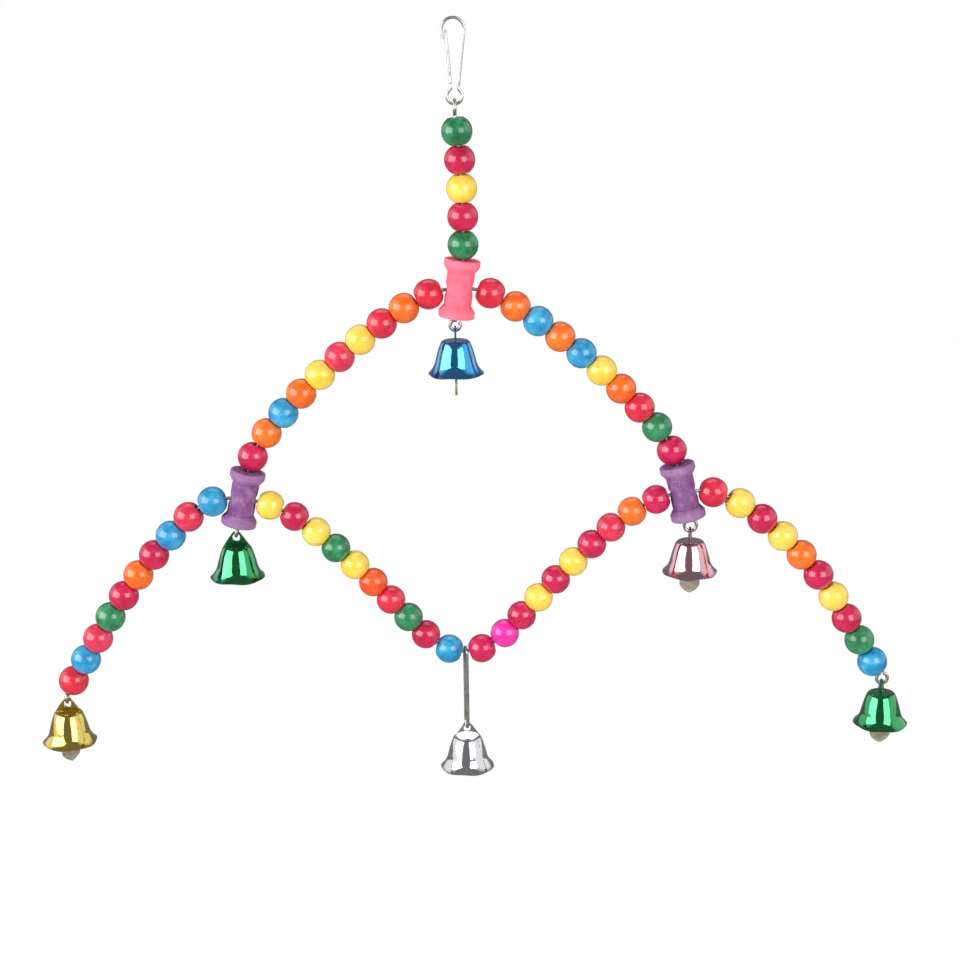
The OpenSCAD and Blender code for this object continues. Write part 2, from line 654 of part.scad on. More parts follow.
module bell_strap() {
    top = [0, strap_hole_z];
    corner = [strap_w / 2, -hang_h];
    touch = touching(top, strap_top_r, corner);
    rotate([90, 0, 0]) translate([0, 0, -strap_t / 2]) linear_extrude(strap_t) difference() {
        union() {
            translate(top) circle(r = strap_top_r, $fn = round_fn);
            polygon([corner, touch, top, [-touch.x, touch.y], [-corner.x, corner.y]]);
            translate([-tongue_r, tongue_z]) square([2 * tongue_r, -hang_h - tongue_z]);
            translate([0, tongue_z]) circle(r = tongue_r, $fn = round_fn);
        }
        translate(top) circle(d = strap_hole_d, $fn = round_fn);
        translate([0, tongue_z]) circle(d = tongue_hole_d, $fn = round_fn);
    }
}

// Half width of a clapper at the share t of its leaf's lower or upper part
function low_w(t) = leaf_w / 2 * sin(90 * pow(t, 0.8));
function high_w(t) = stalk_w / 2 + (leaf_w - stalk_w) / 2 * (1 + cos(180 * t)) / 2;

module bell_clapper(length, leaf_turn) {
    stalk_top = -2 * clapper_ring_r;
    low = [for (i = [0 : leaf_steps])
        [low_w(i / leaf_steps), leaf_low_h * i / leaf_steps - length]];
    high = [for (i = [1 : leaf_steps])
        [high_w(i / leaf_steps), leaf_low_h + leaf_high_h * i / leaf_steps - length]];
    right = concat(low, high, [[stalk_w / 2, stalk_top]]);
    left = [for (i = [len(right) - 1 : -1 : 1]) [-right[i].x, right[i].y]];
    translate([0, 0, clapper_pivot_z]) {
        translate([0, 0, -clapper_ring_r]) rotate([0, 0, 90]) rotate([90, 0, 0])
            rotate_extrude($fn = round_fn) translate([clapper_ring_r, 0])
                circle(d = clapper_wire_d, $fn = wire_fn);
        rotate([0, 0, leaf_turn]) rotate([90, 0, 0]) translate([0, 0, -clapper_t / 2])
            linear_extrude(clapper_t) polygon(concat(right, left));
    }
}

module at_bell(b) {
    translate(b[1]) rotate([0, 0, b[2]]) children();
}

snap_hook();
snap_gate();
stem_wire();
arch_wire();
lower_wire();
bell_link();
pink_spool();
purple_spool_left();
purple_spool_right();
for (b = bells) {
    color(b[5]) at_bell(b) bell_shell();
    color(b[5]) at_bell(b) bell_strap();
    color("#8f8a7c") at_bell(b) bell_clapper(b[4], b[3] - b[2]);
}
for (i = [1 : stem_balls]) {
    color(paint(colour_of(stem_colours, i - 1)))
            on_wire(at(stem_start, stem_run, stem_row[i - 1]), 0) ball(ball_d);
}
for (i = [1 : arch_balls]) {
    color(paint(colour_of(arch_left_colours, i - 1)))
            on_wire(sided(at(arch_start, arch_run, arch_row[i - 1]), -1), arch_y) ball(ball_d);
    color(paint(colour_of(arch_right_colours, i - 1)))
            on_wire(sided(at(arch_start, arch_run, arch_row[i - 1]), 1), arch_y) ball(ball_d);
}
for (b = lower_ball_list) {
    color(paint(b[4])) on_wire(b, 0) ball(b[3]);
}
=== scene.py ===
import math
import random

import bpy
from mathutils import Matrix, Vector


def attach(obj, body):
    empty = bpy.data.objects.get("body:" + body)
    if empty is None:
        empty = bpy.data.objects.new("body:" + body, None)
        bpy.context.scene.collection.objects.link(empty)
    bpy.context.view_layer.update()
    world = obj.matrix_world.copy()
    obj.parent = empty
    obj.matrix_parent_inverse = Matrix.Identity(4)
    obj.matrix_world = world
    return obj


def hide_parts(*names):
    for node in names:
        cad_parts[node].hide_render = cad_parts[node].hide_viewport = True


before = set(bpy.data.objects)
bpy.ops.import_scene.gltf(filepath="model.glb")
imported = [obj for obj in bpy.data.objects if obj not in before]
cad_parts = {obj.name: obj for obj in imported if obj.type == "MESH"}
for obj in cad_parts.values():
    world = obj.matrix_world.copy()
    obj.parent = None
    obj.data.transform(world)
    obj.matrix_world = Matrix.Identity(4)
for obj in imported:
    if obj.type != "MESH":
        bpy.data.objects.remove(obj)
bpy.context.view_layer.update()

MM = 0.001
scene = bpy.context.scene

# The sizes of the part, in mm and degrees, are the ones in part.scad.

# Snap hook
HOOK_WIRE_D = 1.0
HOOK_DROP = 27.0
HOOK_EYE_SHIFT = 0.2

# Wires
WIRE_D = 1.2
CROSS_GAP = 0.4
LOOP_PLAY = 0.15
STEM_EYE_R = 2.35
RING_R = 1.7
RIGHT_RING_R = 2.1
CURL_R = 1.9

# Balls. The length share is the length between a ball's flat ends over its diameter.
BALL_D = 10.3
INNER_BALL_D = 10.0
OUTER_BALL_D = 10.4
BALL_BORE_D = 2.7
BALL_LENGTH_SHARE = 0.87
STEM_BALLS = 5
ARCH_BALLS = 10
OUTER_BALLS = 10
INNER_BALLS = 10
STEM_GAP = 0.3
ARCH_GAP = 0.1
INNER_GAP = 0.1
LEFT_GAP = 0.1
RIGHT_GAP = 0.35
END_GAP = 0.25
WAIST_GAP = 0.2
# Rounds of closing in on a ball's place
FIT_ROUNDS = 5

# Spools
SPOOL_L = 19.6
FLANGE_D = 12.2
FLANGE_RIM_H = 2.2
FLARE_H = 1.8
WAIST_D = 9.3
WAIST_STEP = 0.15
SPOOL_BORE_D = 3.3
CROSS_HOLE_D = 4.2

# Stem
STEM_HEADING = -83.5
STEM_BEND = 8
STEM_KINK = 6
STEM_KINK_L = 5

# Arch: bends beside the pink spool, along the side and above the purple spool
ARCH_BENDS = (31.5, 19, 26.5)
ARCH_SHARES = (0.16, 0.69, 0.15)

# Lower wire: the bends of its outer arms start beside the spool
LOWER_SLOPE = 9.5
LEFT_BENDS = (53.5, 14.5, 0)
RIGHT_BENDS = (43.5, 25.5, 0)
OUTER_SHARES = (0.2, 0.5, 0.3)
INNER_TOP_L = 25.5
INNER_TOP_BEND = 31
INNER_SIDE_L = 31
INNER_SIDE_BEND = 7
DIP_R = 18.0
DIP_GAP = 1.6

# Long link
LINK_L = 29.7
LINK_WIRE_D = 1.1
LINK_TURN = 12

# Bells. The bends of the outline, each with its share of the shell's height, run from the
# edge of the crown to the mouth.
BELL_H = 11.5
BELL_WALL = 0.5
CROWN_R = 3.6
BELL_BENDS = ((0.148, -65), (0.226, -8), (0.365, -3), (0.435, 36))
STRAP_T = 0.6
STRAP_W = 8.8
HANG_H = 3.35
STRAP_HOLE_D = 2.6
STRAP_RIM = 0.8
TONGUE_HOLE_D = 1.9
TONGUE_RIM = 0.8
TONGUE_DROP = 1.7
SLOT_GAP = 0.1

# Clappers
CLAPPER_WIRE_D = 0.7
CLAPPER_RING_R = 1.2
CLAPPER_T = 0.8
LEAF_W = 7.1
LEAF_LOW_H = 3.7
LEAF_HIGH_H = 5.2
STALK_W = 1.6
LONG_CLAPPER_L = 16.3
SHORT_CLAPPER_L = 11.8

# The sizes below are only in this script: soft edges, wear, and the fineness of the meshes.

# Most of an edge that a rounded corner may take
EDGE_SHARE = 0.48
CORNER_STEPS = 4
TINY = 1e-9
SEED = 7
# The grain's coordinates are shifted by up to this much from part to part, each way
GRAIN_SHIFT = 90

# Balls: radii of the bore's edge and of the edge round the flat end, and steps of the round
# side from its middle to a flat end. A ball is paled by a tint of up to the last value.
BORE_EDGE_R = 0.32
FLAT_EDGE_R = 0.9
BALL_STEPS = 9
BALL_SIDES = 48
MOST_TINT = 0.5

# Spools: radii of the corners from the bore over the rim to the waist, and the longest step
# between two points. Wear takes this share of the radius at the ends, times 1 plus a wave, but
# nothing from the edge of the bore, of this width.
SPOOL_EDGE_RS = [0.3, 0.45, 0.15, 0.05, 0.05, 0.1]
SPOOL_CORNER_STEPS = 5
SPOOL_STEP = 1.2
SPOOL_SIDES = 72
WORN_SHARE = 0.006
WORN_WAVES = 3
BORE_EDGE_W = 0.5
# Length of what cuts the cross hole, over the flange's diameter
CUTTER_SHARE = 1.2
CUTTER_SIDES = 48

# Bells: a mouth is dented inwards by this share of its radius and upwards by this height,
# each times its middle value plus its waves. The dents fade towards the crown by the power.
# Each wave has its count round the mouth, its strength and how far the bell's seed turns it.
DENT_SHARE = 0.011
DENT_H = 0.16
DENT_POWER = 3
IN_WAVES = ((3, 1.0, 1.0), (7, 0.7, 2.3))
UP_WAVES = ((5, 1.0, 1.7),)
IN_MIDDLE = 1.7
UP_MIDDLE = 1.5
SHELL_STEPS = 44
SHELL_SIDES = 96
CROWN_STEPS = 5
LIP_STEPS = 6
# How far the rounded lip stands out, over half the wall
LIP_SHARE = 0.6

# Straps and clappers
STRAP_BEVEL = 0.1
STRAP_STEPS = 28
TONGUE_STEPS = 16
HOLE_STEPS = 40
LEAF_BEVEL = 0.14
BEVEL_STEPS = 2
LEAF_STEPS = 16
LEAF_POWER = 0.8
RING_SIDES = 48
RING_WIRE_SIDES = 14

# Edges sharper than these angles stay crisp, in degrees
BALL_CREASE = 40
SHELL_CREASE = 60
CREASE = 50

# Colours of the balls: on the stem from the top, on the arch from the pink spool, on the outer
# arms from the purple spools, and on the inner arms from the dip
STEM = ["green", "crimson", "yellow", "crimson", "green"]
ARCH_LEFT = ["red", "orange", "red", "yellow", "rose", "yellow", "orange", "blue", "orange",
             "crimson"]
ARCH_RIGHT = ["red", "orange", "blue", "orange", "blue", "yellow", "orange", "red", "green",
              "crimson"]
OUTER_LEFT = ["blue", "rose", "blue", "crimson", "orange", "crimson", "green", "rose", "blue",
              "red"]
OUTER_RIGHT = ["red", "yellow", "crimson", "yellow", "orange", "crimson", "yellow", "crimson",
               "green", "blue"]
INNER_LEFT = ["blue", "crimson", "green", "red", "orange_red", "yellow", "green", "yellow",
              "crimson", "yellow"]
INNER_RIGHT = ["crimson", "hot_pink", "crimson", "yellow", "crimson", "yellow", "crimson",
               "rose", "orange", "crimson"]
# Shades that go with another colour, and on the lower wire share its node
SHADE_OF = {"rose": "red", "orange_red": "orange"}


def sin(a):
    """Sine of an angle in degrees."""
    return math.sin(math.radians(a))


def cos(a):
    """Cosine of an angle in degrees."""
    return math.cos(math.radians(a))


# A place on a wire is (x, z, heading). A run is a list of bends, each (length, turn).


def moved(p, bend):
    """Place at the end of a bend that starts at p."""
    length, turn = bend
    if turn == 0:
        return (p[0] + length * cos(p[2]), p[1] + length * sin(p[2]), p[2])
    r = length * 180 / math.pi / turn
    a = p[2] + turn
    return (p[0] + r * (sin(a) - sin(p[2])), p[1] - r * (cos(a) - cos(p[2])), a)


def at(p, run, s):
    """Place at the distance s along a run that starts at p. Past the run it goes straight on."""
    for length, turn in run:
        if s <= length:
            return moved(p, (s, turn * s / length))
        p = moved(p, (length, turn))
        s -= length
    return moved(p, (s, 0))


def along(p, d):
    """Point (x, z) straight ahead of a place, at the distance d."""
    return (p[0] + d * cos(p[2]), p[1] + d * sin(p[2]))


def line_angle(a, b):
    """Angle between two lines with these headings, from 0 to 90 degrees."""
    return abs(90 - abs(90 - abs(a - b) % 180))


# Angle between a ball's axis and the edge of its flat end, seen from its middle
FLAT_ANGLE = math.degrees(math.acos(BALL_LENGTH_SHARE))


def reach(d, angle):
    """Reach of a ball from its middle, at this angle from the hole through it."""
    return d / 2 * cos(max(0, FLAT_ANGLE - angle))


def ball_gap(a, b, d):
    """Clear gap between the balls at two places."""
    way = math.degrees(math.atan2(b[1] - a[1], b[0] - a[0]))
    return (math.hypot(b[0] - a[0], b[1] - a[1]) - reach(d, line_angle(a[2], way))
            - reach(d, line_angle(b[2], way)))


def ball_row(p, run, s, d, gap, n):
    """Distances of a row of balls along a run, each clear of the last one in the bends too."""
    out = [s]
    for _ in range(n - 1):
        a = at(p, run, s)
        s += d
        for _ in range(FIT_ROUNDS):
            s += gap - ball_gap(a, at(p, run, s), d)
        out.append(s)
    return out


def beside(p, run, s, d, c, heading, gap, way):
    """Distance at which a ball stands this clear of the line through c with this heading."""
    for _ in range(FIT_ROUNDS):
        q = at(p, run, s)
        off = abs((q[0] - c[0]) * sin(heading) - (q[1] - c[1]) * cos(heading))
        s += way * (gap - off + reach(d, line_angle(q[2], heading + 90)))
    return s


def first_ball(p, run, d, heading):
    """Distance of the first ball beside a spool at the start of a run."""
    return beside(p, run, (WAIST_D + d) / 2, d, p, heading, WAIST_D / 2 + WAIST_GAP, 1)


def spool_start(p, run, s, d):
    """Distance along a run at which a spool starts past the ball at the distance s."""
    ball_heading = at(p, run, s)[2]
    spool_heading = at(p, run, s + (d + SPOOL_L) / 2)[2]
    return s + END_GAP + reach(d, line_angle(ball_heading, spool_heading))


# Stem and pink spool
ball_l = BALL_D * BALL_LENGTH_SHARE
stem_eye_z = (HOOK_WIRE_D + WIRE_D) / 2 + LOOP_PLAY - HOOK_DROP - STEM_EYE_R
stem_start = (HOOK_EYE_SHIFT, stem_eye_z - STEM_EYE_R, STEM_HEADING)
stem_first = WIRE_D / 2 + END_GAP + ball_l / 2
stem_len = stem_first + (STEM_BALLS - 1) * (ball_l + STEM_GAP) + ball_l / 2
stem_run = [(stem_len - STEM_KINK_L / 2, -STEM_BEND), (STEM_KINK_L, -STEM_KINK)]
stem_row = ball_row(stem_start, stem_run, stem_first, BALL_D, STEM_GAP, STEM_BALLS)
pink_top = spool_start(stem_start, stem_run, stem_row[-1], BALL_D)
pink_c = at(stem_start, stem_run, pink_top + SPOOL_L / 2)
ring_start = WIRE_D / 2 + END_GAP
stem_end = at(stem_start, stem_run, pink_top + SPOOL_L + ring_start)
middle_x = pink_c[0]

# Right half of the arch and its purple spool, with x measured from the middle
arch_start = (0, pink_c[1], 0)
arch_len = (WAIST_D + ball_l) / 2 + ARCH_BALLS * (ball_l + ARCH_GAP)
arch_run = [(arch_len * s, -b) for s, b in zip(ARCH_SHARES, ARCH_BENDS)]
arch_first = max(first_ball(arch_start, arch_run, BALL_D, pink_c[2]),
                 first_ball(arch_start, arch_run, BALL_D, -pink_c[2]))
arch_row = ball_row(arch_start, arch_run, arch_first, BALL_D, ARCH_GAP, ARCH_BALLS)
purple_top = spool_start(arch_start, arch_run, arch_row[-1], BALL_D)
purple_c = at(arch_start, arch_run, purple_top + SPOOL_L / 2)
arch_end = at(arch_start, arch_run, purple_top + SPOOL_L + ring_start)

# Outer arms of the lower wire, both drawn as on the right
outer_l = OUTER_BALL_D * BALL_LENGTH_SHARE
outer_start = (purple_c[0], purple_c[1], LOWER_SLOPE)


def outer_arm(gap, bends):
    """The bends of an outer arm, its balls and its end."""
    total = (WAIST_D + outer_l) / 2 + OUTER_BALLS * (outer_l + gap)
    run = [(total * s, -b) for s, b in zip(OUTER_SHARES, bends)]
    first = first_ball(outer_start, run, OUTER_BALL_D, purple_c[2])
    row = ball_row(outer_start, run, first, OUTER_BALL_D, gap, OUTER_BALLS)
    return run, row, at(outer_start, run, row[-1] + outer_l / 2 + ring_start)


left_run, left_row, left_end = outer_arm(LEFT_GAP, LEFT_BENDS)
right_run, right_row, right_end = outer_arm(RIGHT_GAP, RIGHT_BENDS)

# Inner arm of the lower wire, from the right spool to the dip
inner_start = (purple_c[0], purple_c[1], 180 + LOWER_SLOPE)
inner_bends = [(INNER_TOP_L, INNER_TOP_BEND), (INNER_SIDE_L, INNER_SIDE_BEND)]
leg_start = at(inner_start, inner_bends, INNER_TOP_L + INNER_SIDE_L)
leg_slope = leg_start[2] - 180
leg_l = leg_start[0] / cos(leg_slope) - DIP_R * math.tan(math.radians(leg_slope))
inner_run = inner_bends + [(leg_l, 0), (DIP_R * math.radians(leg_slope), -leg_slope)]
inner_total = sum(b[0] for b in inner_run)
dip = at(inner_start, inner_run, inner_total)
inner_first = first_ball(inner_start, inner_run, INNER_BALL_D, purple_c[2])
inner_last = beside(inner_start, inner_run, inner_total - INNER_BALL_D / 2, INNER_BALL_D, dip,
                    90, DIP_GAP / 2, -1)


def inner_balls(gap):
    """Distances of the balls of an inner arm."""
    return ball_row(inner_start, inner_run, inner_first, INNER_BALL_D, gap, INNER_BALLS)


# What is left over on the inner arm is shared between the gaps of its balls
inner_gap = INNER_GAP
for _ in range(FIT_ROUNDS):
    inner_gap += (inner_last - inner_balls(inner_gap)[-1]) / (INNER_BALLS - 1)
inner_row = inner_balls(inner_gap)


def sided(p, side):
    """A place of the right half, as it is for the side 1 and mirrored for the side -1."""
    return (middle_x + side * p[0], p[1], p[2] if side > 0 else 180 - p[2])


# Where the bells hang. The arch passes behind the stem and the lower wire.
CROSS_PITCH = WIRE_D + CROSS_GAP
link_top_z = dip[1] + (WIRE_D + LINK_WIRE_D) / 2 + LOOP_PLAY
stem_ring = along(stem_end, RING_R)
left_hang = along(sided(arch_end, -1), 2 * RING_R)
right_ring = along(sided(arch_end, 1), RIGHT_RING_R)
left_tip = sided(left_end, -1)
curl_c = along(sided(right_end, 1), CURL_R)
# Each bell: name, slot, hanging place, turn of its strap, turn of its leaf, clapper's length
BELLS = (
    ("blue", "bell_blue", (stem_ring[0], 0, stem_ring[1] - RING_R), 90, 90, LONG_CLAPPER_L),
    ("green_left", "bell_green", (left_hang[0], CROSS_PITCH, left_hang[1]), 0, 0,
     SHORT_CLAPPER_L),
    ("pink", "bell_pink", (right_ring[0], CROSS_PITCH, right_ring[1] - RIGHT_RING_R), 90, 0,
     LONG_CLAPPER_L),
    ("gold", "bell_gold", (left_tip[0], 0, left_tip[1] - 2 * RING_R), 0, 40, LONG_CLAPPER_L),
    ("green_right", "bell_green", (curl_c[0], 0, curl_c[1] - CURL_R), 90, 0, LONG_CLAPPER_L),
    ("silver", "bell_silver", (middle_x, 0, link_top_z - LINK_L), LINK_TURN, 0,
     SHORT_CLAPPER_L),
)


def rgb(text):
    """Linear colour of six hexadecimal sRGB digits."""
    c = [int(text[i:i + 2], 16) / 255 for i in (0, 2, 4)]
    return tuple(v / 12.92 if v <= 0.04045 else ((v + 0.055) / 1.055) ** 2.4 for v in c) + (1.0,)


def grey(v):
    """A linear grey."""
    return (v, v, v, 1)


BLACK = grey(0)
WHITE = grey(1)


class Nodes:
    """Makes and links the nodes of one material or world."""

    def __init__(self, tree):
        self.tree = tree

    def fill(self, node, inputs):
        """Gives a node's inputs, by name or number, a constant or another node's output."""
        for key, value in inputs.items():
            if isinstance(value, bpy.types.NodeSocket):
                self.tree.links.new(value, node.inputs[key])
            else:
                node.inputs[key].default_value = value

    def new(self, kind, inputs=None, **settings):
        """A new node with these inputs and settings."""
        node = self.tree.nodes.new("ShaderNode" + kind)
        for key, value in settings.items():
            setattr(node, key, value)
        self.fill(node, inputs or {})
        return node

    def spread(self, value, low, high, start=0.0, end=1.0):
        """The range from start to end, stretched to the range from low to high."""
        limits = {"From Min": start, "From Max": end, "To Min": low, "To Max": high}
        return self.new("MapRange", {"Value": value, **limits}).outputs["Result"]

    def mix(self, share, a, b, kind="MIX"):
        """Mixes two colours. They are the inputs 6 and 7 of the node."""
        node = self.new("Mix", {0: share, 6: a, 7: b}, data_type="RGBA", blend_type=kind)
        return node.outputs[2]

    def mix_numbers(self, share, a, b):
        """Mixes two numbers. They are the inputs 2 and 3 of the node."""
        return self.new("Mix", {0: share, 2: a, 3: b}, data_type="FLOAT").outputs[0]

    def calculate(self, operation, *values):
        """A number worked out from one or two others."""
        return self.new("Math", dict(enumerate(values)), operation=operation).outputs[0]


class Surface(Nodes):
    """A new material with one shader."""

    def __init__(self, name):
        self.mat = bpy.data.materials.new(name)
        self.mat.use_nodes = True
        super().__init__(self.mat.node_tree)
        self.shader = self.tree.nodes["Principled BSDF"]

    def grain(self, scale=(1, 1, 1)):
        """The piece's own coordinates in mm, stored on its points, stretched by scale."""
        place = self.new("Attribute", attribute_name="grain").outputs["Vector"]
        return self.new("Mapping", {"Vector": place, "Scale": scale}).outputs["Vector"]

    def solid(self):
        """Object coordinates in mm, for the nodes that come from the CAD model."""
        place = self.new("TexCoord").outputs["Object"]
        return self.new("Mapping", {"Vector": place, "Scale": [1 / MM] * 3}).outputs["Vector"]

    def tint(self):
        """How pale a point is, from 0 to 1, stored on the piece's points."""
        return self.new("Attribute", attribute_name="tint").outputs["Fac"]

    def noise(self, place, scale, detail, rough):
        """Noise of about this many lumps to a mm."""
        settings = {"Scale": scale, "Detail": detail, "Roughness": rough}
        return self.new("TexNoise", {"Vector": place, **settings}).outputs["Fac"]

    def ramp(self, value, stops):
        """Colours along a value. Each stop is (position, colour)."""
        node = self.new("ValToRGB", {"Fac": value})
        elements = node.color_ramp.elements
        while len(elements) < len(stops):
            elements.new(0.5)
        for element, (position, colour) in zip(elements, stops):
            element.position = position
            element.color = colour
        return node.outputs["Color"]

    def bump(self, height, strength, distance, after=None):
        """Bump of this distance in mm, on top of the normal of an earlier one."""
        inputs = {"Height": height, "Strength": strength, "Distance": distance * MM}
        if after is not None:
            inputs["Normal"] = after
        return self.new("Bump", inputs).outputs["Normal"]

    def finish(self, inputs):
        """Fills in the shader and returns the material."""
        self.fill(self.shader, inputs)
        return self.mat


def lacquer(name, colour, dark, light):
    """Dyed and lacquered wood: mottled dye, faint grain lines along the bore, a clear top coat."""
    m = Surface(name)
    cloud = m.noise(m.grain(), scale=0.22, detail=4, rough=0.6)
    lines = m.noise(m.grain((2.6, 2.6, 0.16)), scale=1.0, detail=5, rough=0.65)
    dents = m.noise(m.grain(), scale=0.5, detail=2, rough=0.5)
    dye = m.ramp(cloud, [(0.28, dark), (0.5, colour), (0.74, light)])
    dye = m.mix(0.55, dye, m.ramp(lines, [(0.35, grey(0.74)), (0.6, WHITE)]), "MULTIPLY")
    return m.finish({
        "Base Color": m.mix(m.tint(), dye, m.mix(0.5, dye, light)),
        "Roughness": m.spread(cloud, 0.36, 0.52),
        "Normal": m.bump(lines, 0.05, 0.03, after=m.bump(dents, 0.12, 0.08)),
        "Specular IOR Level": 0.1,
        "Coat Weight": 1.0,
        "Coat Roughness": 0.17,
        "Coat IOR": 1.65,
    })


def raw_wood(name, colour, dark, light, pores):
    """Matte dyed wood: dusty, with grain lines and pores, and paler where it is worn."""
    m = Surface(name)
    cloud = m.noise(m.grain(), scale=0.3, detail=5, rough=0.6)
    lines = m.noise(m.grain((3.2, 3.2, 0.22)), scale=1.0, detail=6, rough=0.7)
    specks = m.noise(m.grain((1.0, 1.0, 0.35)), scale=3.2, detail=2, rough=0.6)
    fuzz = m.noise(m.grain(), scale=2.6, detail=4, rough=0.6)
    dye = m.ramp(cloud, [(0.3, dark), (0.5, colour), (0.72, light)])
    dye = m.mix(0.9, dye, m.ramp(lines, [(0.32, grey(1 - pores)), (0.55, WHITE)]), "MULTIPLY")
    dye = m.mix(m.ramp(specks, [(0.60, BLACK), (0.70, grey(pores))]), dye, dark)
    return m.finish({
        "Base Color": m.mix(m.tint(), dye, m.mix(0.5, dye, light)),
        "Roughness": m.spread(lines, 0.88, 0.66),
        "Normal": m.bump(fuzz, 0.08, 0.02, after=m.bump(lines, 0.05, 0.02)),
        "Specular IOR Level": 0.25,
    })


def plated(name, colour, dark, rough):
    """Bright plating on pressed sheet under clear lacquer: uneven, with fine handling marks."""
    m = Surface(name)
    wide = m.noise(m.grain(), scale=0.35, detail=2, rough=0.5)
    fine = m.noise(m.grain((1, 1, 2.4)), scale=2.5, detail=4, rough=0.6)
    return m.finish({
        "Base Color": m.ramp(fine, [(0.3, dark), (0.55, colour)]),
        "Roughness": m.spread(fine, rough * 0.6, rough * 1.7),
        "Metallic": 1.0,
        "Normal": m.bump(fine, 0.04, 0.02, after=m.bump(wide, 0.5, 0.12)),
        "Coat Weight": 1.0,
        "Coat Roughness": 0.06,
        "Coat IOR": 1.55,
    })


def steel(name, colour, dark, rough, own):
    """Drawn steel wire or dull sheet with fine streaks. own is true for a piece made here."""
    m = Surface(name)
    place = m.grain() if own else m.solid()
    cloud = m.noise(place, scale=0.4, detail=3, rough=0.6)
    fine = m.noise(place, scale=4.0, detail=4, rough=0.7)
    base = m.ramp(cloud, [(0.3, dark), (0.62, colour)])
    streaks = m.ramp(fine, [(0.3, grey(0.6)), (0.6, WHITE)])
    return m.finish({
        "Base Color": m.mix(0.35, base, streaks, "MULTIPLY"),
        "Roughness": m.spread(fine, rough * 0.7, rough * 1.6),
        "Metallic": 1.0,
        "Normal": m.bump(fine, 0.25, 0.03),
    })


# Each lacquer: colour, darker mottling, lighter mottling
LACQUERS = {
    "crimson": ("c80a48", "a20632", "de2662"),
    "red": ("da1a38", "b60e2a", "ea3a56"),
    "rose": ("e0284a", "c21a38", "f04c70"),
    "orange": ("f56a12", "e45006", "fc882c"),
    "orange_red": ("f05018", "da400c", "f86a34"),
    "yellow": ("ffd84a", "f7c634", "ffe678"),
    "green": ("1e7c4a", "0a4c2a", "46a674"),
    "blue": ("1e98cc", "0e6ca6", "54bee8"),
    "hot_pink": ("f424a6", "de1690", "ff50c0"),
}
ball_mats = {k: lacquer("lacquer_" + k, *[rgb(c) for c in v]) for k, v in LACQUERS.items()}
spool_mats = {
    "pink": raw_wood("dyed_wood_pink", rgb("fb7088"), rgb("ee647e"), rgb("ff8298"), 0.12),
    "purple": raw_wood("dyed_wood_purple", rgb("8a5890"), rgb("784c80"), rgb("a880aa"), 0.3),
}
bell_mats = {
    "bell_blue": plated("plated_blue", rgb("38aaf0"), rgb("2890d8"), 0.09),
    "bell_green": plated("plated_green", rgb("1ca45c"), rgb("10884a"), 0.09),
    "bell_pink": plated("plated_pink", rgb("e6b4c6"), rgb("cc93a9"), 0.09),
    "bell_gold": plated("plated_gold", rgb("e8cf62"), rgb("ccaa3c"), 0.1),
    "bell_silver": plated("plated_silver", rgb("e4e4e8"), rgb("c8c8ce"), 0.08),
}
hook_mat = steel("hook_steel", rgb("e4e2de"), rgb("b4b2ae"), 0.3, False)
wire_mat = steel("wire_steel", rgb("dedad4"), rgb("a8a49c"), 0.34, False)
clapper_mat = steel("clapper_metal", rgb("e2dac4"), rgb("bcb298"), 0.6, True)


# A shape is its vertices, in mm, and its faces.


def turn(angle, axis):
    """Matrix of a turn in degrees."""
    return Matrix.Rotation(math.radians(angle), 4, axis)


def along_wire(p, y):
    """Puts a shape drawn along Z on a wire, along the wire's heading, in mm."""
    return Matrix.Translation((p[0], y, p[1])) @ turn(90 - p[2], "Y")


def rounded(points, radii, steps):
    """A closed polyline's points, with an arc at each corner that has a radius."""
    out = []
    for i, p in enumerate(points):
        if not radii[i]:
            out.append(tuple(p))
            continue
        a, b, c = Vector(points[i - 1]), Vector(p), Vector(points[(i + 1) % len(points)])
        u, v = (a - b).normalized(), (c - b).normalized()
        half = u.angle(v) / 2
        back = min(radii[i] / math.tan(half), (a - b).length * EDGE_SHARE,
                   (c - b).length * EDGE_SHARE)
        centre = b + (u + v).normalized() * (back * math.tan(half) / math.sin(half))
        first, last = b + u * back - centre, b + v * back - centre
        sweep = first.angle_signed(last) if min(first.length, last.length) > TINY else 0
        for k in range(steps + 1):
            q = first.copy()
            q.rotate(Matrix.Rotation(-sweep * k / steps, 2))
            out.append(tuple(centre + q))
    return out


def turned(profile, sides):
    """A profile of (r, z) points, turned about Z."""
    return [(r * math.cos(a), r * math.sin(a), z)
            for a in [2 * math.pi * k / sides for k in range(sides)] for r, z in profile]


def lathe(profile, sides):
    """Shape of a closed profile, turned about Z."""
    faces, n = [], len(profile)
    for k in range(sides):
        a, b = k * n, (k + 1) % sides * n
        faces += [(a + i, a + (i + 1) % n, b + (i + 1) % n, b + i) for i in range(n)]
    return turned(profile, sides), faces


def capped_lathe(profile, sides):
    """Shape of an open profile, turned about Z, with its two ends closed on the axis."""
    verts, faces, n = turned(profile, sides), [], len(profile)
    top, bottom = len(verts), len(verts) + 1
    verts += [(0, 0, profile[0][1]), (0, 0, profile[-1][1])]
    for k in range(sides):
        a, b = k * n, (k + 1) % sides * n
        faces += [(b + i, b + i + 1, a + i + 1, a + i) for i in range(n - 1)]
        faces += [(b, a, top), (a + n - 1, b + n - 1, bottom)]
    return verts, faces


def circle(y, r, steps, start=0, sweep=360):
    """Points of a circle or an arc round (0, y)."""
    count = steps if sweep == 360 else steps + 1
    return [(r * cos(start + sweep * k / steps), y + r * sin(start + sweep * k / steps))
            for k in range(count)]


